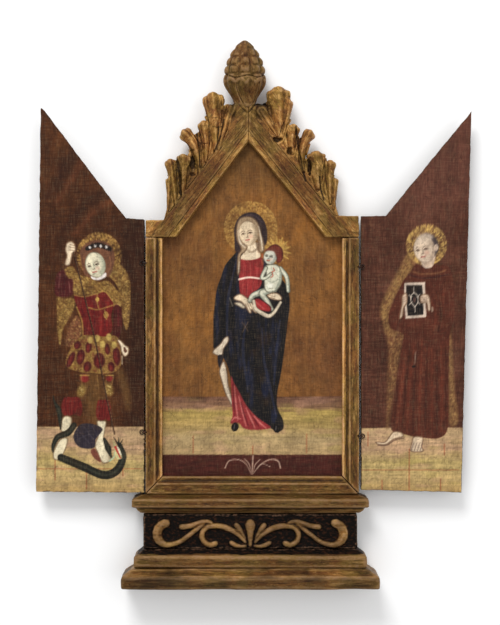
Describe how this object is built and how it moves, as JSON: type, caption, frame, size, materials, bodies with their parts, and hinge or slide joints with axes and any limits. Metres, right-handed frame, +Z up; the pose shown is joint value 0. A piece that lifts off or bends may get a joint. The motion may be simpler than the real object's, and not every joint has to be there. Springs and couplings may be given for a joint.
{
  "type": "triptych altarpiece",
  "caption": "Small standing house altar: a pointed painted panel in a gilded frame with carved leaf crest, on a moulded base, with hinged painted wings that close over it",
  "frame": {"origin": "middle of the base's underside", "axes": "+X to the right seen from the front, +Y to the back, +Z up; the painted side faces -Y"},
  "size_m": [0.4349, 0.046, 0.5458],
  "materials": {
    "gilt_wood": "worn water gilding over a red-brown ground on carved wood",
    "black_paint": "black paint on wood, with gilded carved scrolls",
    "centre_painting": "varnished paint on a wooden board, golden brown ground",
    "wing_painting": "varnished paint on a wooden board, dark red-brown ground",
    "iron_wire": "dark rusty iron wire"
  },
  "bodies": {
    "altar": {"base_plinth": "gilt_wood", "base_step": "gilt_wood", "frieze": "black_paint", "cornice": "gilt_wood", "centre_panel": "centre_painting", "stile_left": "gilt_wood", "stile_right": "gilt_wood", "bottom_rail": "gilt_wood", "gable_left": "gilt_wood", "gable_right": "gilt_wood", "finial": "gilt_wood", "eye_frame_left_low": "iron_wire", "eye_frame_left_high": "iron_wire", "eye_frame_right_low": "iron_wire", "eye_frame_right_high": "iron_wire"},
    "left_wing": {"wing_left": "wing_painting", "eye_wing_left_low": "iron_wire", "eye_wing_left_high": "iron_wire"},
    "right_wing": {"wing_right": "wing_painting", "eye_wing_right_low": "iron_wire", "eye_wing_right_high": "iron_wire"}
  },
  "joints": [
    {"name": "left_wing_hinge", "type": "hinge", "parent": "altar", "child": "left_wing", "pos_m": [-0.106, -0.0005, 0.23], "axis": [0, 0, 1], "range_deg": [0, 180]},
    {"name": "right_wing_hinge", "type": "hinge", "parent": "altar", "child": "right_wing", "pos_m": [0.1098, -0.0005, 0.23], "axis": [0, 0, 1], "range_deg": [-180, 0]}
  ]
}
